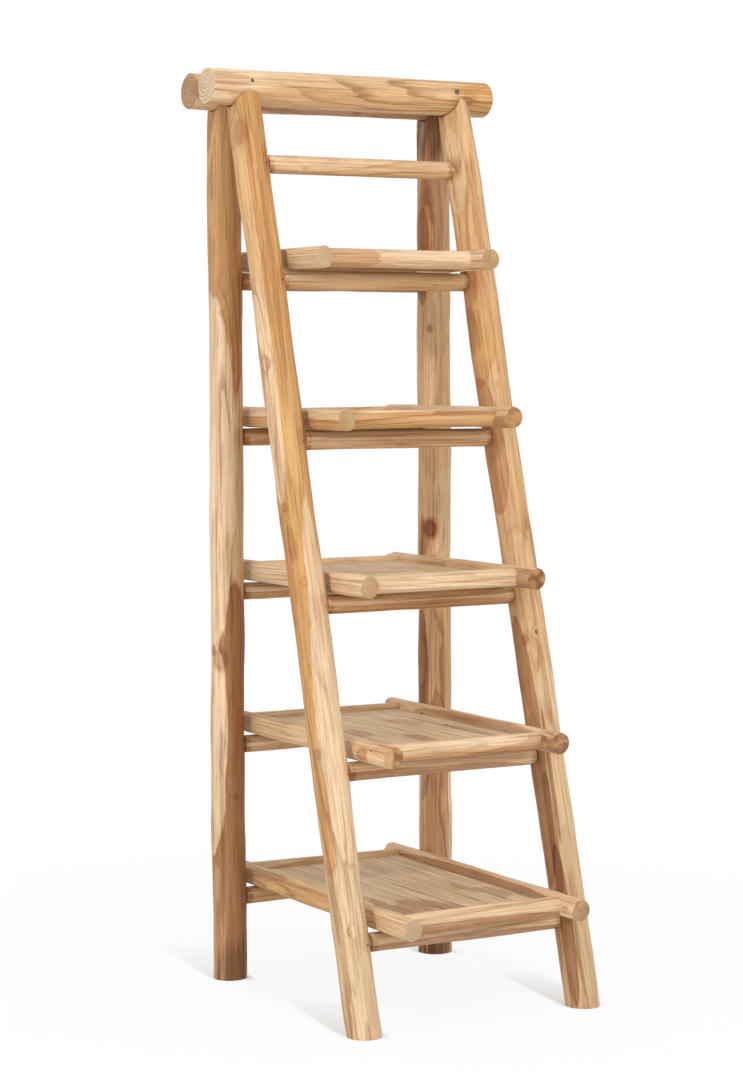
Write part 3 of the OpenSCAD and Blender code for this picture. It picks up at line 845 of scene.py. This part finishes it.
# Brown and grey stains on the slats of the lower trays.
slat_blots = {
    3: [(0.02, 0.05, 0.10, 0.02, RED_HEART, 0.35)],
    4: [(-0.02, -0.12, 0.020, 0.075, HEARTWOOD, 0.6), (0.12, -0.06, 0.016, 0.10, HEARTWOOD, 0.5),
        (-0.09, 0.02, 0.025, 0.05, HEARTWOOD, 0.4), (0.07, 0.10, 0.03, 0.05, RED_HEART, 0.4)],
    5: [(-0.075, -0.20, 0.085, 0.13, HEARTWOOD, 0.56), (-0.10, -0.27, 0.013, 0.075, GREYED, 0.8),
        (-0.055, -0.24, 0.010, 0.09, GREYED, 0.8), (-0.14, -0.20, 0.008, 0.05, GREYED, 0.7),
        (0.115, -0.08, 0.035, 0.06, HEARTWOOD, 0.45), (-0.02, -0.28, 0.010, 0.04, GREYED, 0.8)],
}


def flatten(piece, flats):
    """Planes the flats on a pole, each as degrees round it, distance from its axis and slope."""
    for degrees, distance, slope in flats:
        angle = math.radians(degrees)
        facing = (math.cos(angle), math.sin(angle))
        hew(piece, (facing[0] * distance, facing[1] * distance, 0), (*facing, slope))


for tray in range(1, 6):
    body = "tray_%d" % tray
    for side, way in (("left", -1), ("right", 1)):
        node = "tray_%d_side_pole_%s" % (tray, side)
        low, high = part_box(node)
        middle = middle_of(node)
        radius = (high[2] - low[2]) / 2 - lump_room
        length = high[1] - low[1] - 0.004
        piece = grow(
            node + "_stick", radius, length, middle, along_y,
            seed=100 + 7 * tray + 3 * way, crook=0.0016, lump=0.0022, sides=64,
        )
        # The more the front end's cut is tilted, the further back it starts.
        across, down = pole_ends.get((tray, side), (0.04 * way, 0.05))
        set_back = 0.001 + 0.016 * max(abs(across), abs(down))
        saw(piece, middle + Vector((0, set_back - length / 2, 0)), (across, -1, -down))
        flatten(piece, pole_flats[tray, side])
        # The hollows beside the front leg and the rear leg.
        front_leg_y = foot_y + (front_pole.y - foot_y) * middle.z / front_pole.z
        for leg_y, leg_turn in ((front_leg_y, (-lean, 0, 0)), (rear_y, (0, 0, 0))):
            place = (way * leg_x, leg_y, middle.z)
            scoop(piece, leg_radius + leg_room, scoop_length, place, leg_turn)
        wood = teak(
            node + "_teak", middle, along_y, 61.3 + 2.3 * tray + 17 * way,
            pole_tones[tray, side], pole_knots.get((tray, side), ()), radius=tray_pole_radius,
            pith=(0.006, 0.012), ring=0.0058, ends=(colour(pole_cuts[tray, side]), 0.75, 0.12),
            heart=pole_hearts.get((tray, side), 0.0),
        )
        ease(piece, 0.0018)
        set_down(piece, node, body, wood)
    for end in ("front", "rear"):
        node = "tray_%d_%s_rail" % (tray, end)
        low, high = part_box(node)
        middle = middle_of(node)
        radius = (high[2] - low[2]) / 2 - rail_room
        piece = grow(
            node + "_stick", radius, high[0] - low[0] - 0.006, middle, along_x,
            seed=160 + 5 * tray + len(end), crook=0.0014, lump=0.0020, sides=56,
        )
        if end == "front":
            flats, patches = rail_flats[tray], rail_tones[tray]
        else:
            flats, patches = [(174, 0.0152, 0.006 * (tray - 3))], [(0.0, 0.3, -20, 0.6, OCHRE, 0.6)]
        flatten(piece, flats)
        wood = teak(
            node + "_teak", middle, along_x, 83.1 + 1.7 * tray + len(end), patches,
            pith=(0.015, 0.01),
        )
        ease(piece, 0.0008)
        set_down(piece, node, body, wood)

    # Slats: planed boards, front to back, with narrow gaps, each a little off level.
    node = "tray_%d_slats" % tray
    low, high = (Vector(corner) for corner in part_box(node))
    middle = (low + high) / 2
    count, gap = 6, 0.0025
    pitch = (high.x - low.x + gap) / count
    size = Vector((pitch - gap, high.y - low.y, high.z - low.z))
    boards = []
    for index in range(count):
        bpy.ops.object.select_all(action="DESELECT")
        place = Vector((low.x + size.x / 2 + index * pitch, middle.y, middle.z))
        planed = size - Vector((0, 0, 0.0006))
        bpy.ops.mesh.primitive_cube_add(size=1, location=place, scale=planed)
        board = bpy.context.object
        bpy.ops.object.transform_apply(location=False, rotation=False, scale=True)
        edit(board, lambda ends: abs(ends[0].y - ends[1].y) > 0.1)
        bpy.ops.mesh.subdivide(number_cuts=14)
        bpy.ops.object.mode_set(mode="OBJECT")
        edit(board, lambda ends: abs(ends[0].x - ends[1].x) > 0.01)
        bpy.ops.mesh.subdivide(number_cuts=2)
        bpy.ops.object.mode_set(mode="OBJECT")
        cupping = bpy.data.textures.new("cupping", "CLOUDS")
        cupping.noise_scale = 0.11
        shape(
            board,
            "DISPLACE",
            {
                "texture": cupping,
                "texture_coords": "GLOBAL",
                "direction": "Z",
                "strength": 0.0016,
                "mid_level": 0.62,
            },
        )
        bpy.data.textures.remove(cupping)
        ease(board, 0.0011)
        boards.append(board)
    bpy.ops.object.select_all(action="DESELECT")
    for board in boards:
        board.select_set(True)
    bpy.context.view_layer.objects.active = boards[0]
    bpy.ops.object.join()
    slats = bpy.context.object
    slats.name = slats.data.name = node + "_boards"
    wood = teak(
        node + "_teak", middle, along_y, 97.7 + 4.3 * tray, pith=(0, 0.012), ring=0.0065,
        boards=(count, pitch), blots=slat_blots.get(tray, ()), lines=0.42,
    )
    set_down(slats, node, body, wood)

# Battens: sawn teak bars under the slats, let into the side poles. They keep their CAD shape.
for tray in range(1, 6):
    node = "tray_%d_battens" % tray
    wood = teak(
        node + "_teak", middle_of(node), along_x, 120.9 + tray,
        [(0, 0.4, 0, 2.2, HEARTWOOD, 0.35)], pith=(0.03, 0.02),
    )
    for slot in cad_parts[node].material_slots:
        slot.material = wood

# ---------------------------------------------------------------------------------------------
# Screws. Dulled zinc-plated steel, round heads sunk below the wood: in the top pole, the legs,
# the rails' ends and under the slats. They keep their CAD shape.
# ---------------------------------------------------------------------------------------------
zinc, start = finish("dulled_zinc")
where = start.node("ShaderNodeTexCoord", {}, {}, "Object")
speckle = start.node("ShaderNodeTexNoise", {}, {"Vector": where, "Scale": 260.0, "Detail": 3.0})
tarnish = speckle.step(0.35, 0.7)
base = start.node(
    "ShaderNodeMix",
    {"data_type": "RGBA"},
    {0: tarnish, 6: colour("8f8a80"), 7: colour("4a4038")},
    out=2,
)
steel = start.node(
    "ShaderNodeBsdfPrincipled",
    {},
    {"Base Color": base, "Metallic": 0.9, "Roughness": 0.38 + tarnish * 0.3},
)
surface = zinc.node_tree.nodes.new("ShaderNodeOutputMaterial")
zinc.node_tree.links.new(steel.socket, surface.inputs["Surface"])
for node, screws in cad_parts.items():
    if node.endswith("_screws"):
        for slot in screws.material_slots:
            slot.material = zinc
